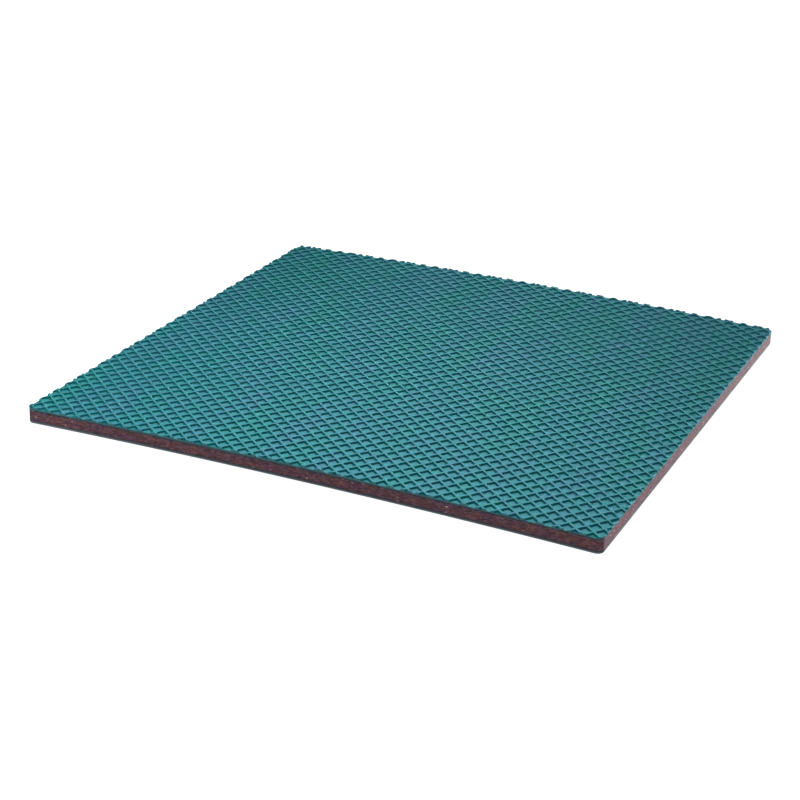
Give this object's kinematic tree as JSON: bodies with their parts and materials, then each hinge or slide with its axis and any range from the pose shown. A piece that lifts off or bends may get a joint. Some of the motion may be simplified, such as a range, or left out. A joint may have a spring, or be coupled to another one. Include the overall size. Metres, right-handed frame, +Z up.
{
  "type": "laminated ribbed rubber mat",
  "caption": "Flat square mat: a ribbed and a smooth rubber facing glued to a granulate core, laid under trays or equipment to insulate, grip and damp.",
  "frame": {"origin": "middle of the underside, on the surface that the mat lies on", "axes": "+X along the front edge, +Y towards the back edge, +Z up through the thickness"},
  "size_m": [0.5, 0.5, 0.014],
  "materials": {
    "facing_rubber": "matt green-blue moulded rubber, slightly mottled",
    "core_granulate": "raw cut face of reddish brown bonded granulate with pale specks",
    "bond_adhesive": "dark dull adhesive line"
  },
  "bodies": {
    "root": {"top_facing": "facing_rubber", "top_bond_film": "bond_adhesive", "core": "core_granulate", "bottom_bond_film": "bond_adhesive", "bottom_facing": "facing_rubber"}
  },
  "joints": []
}
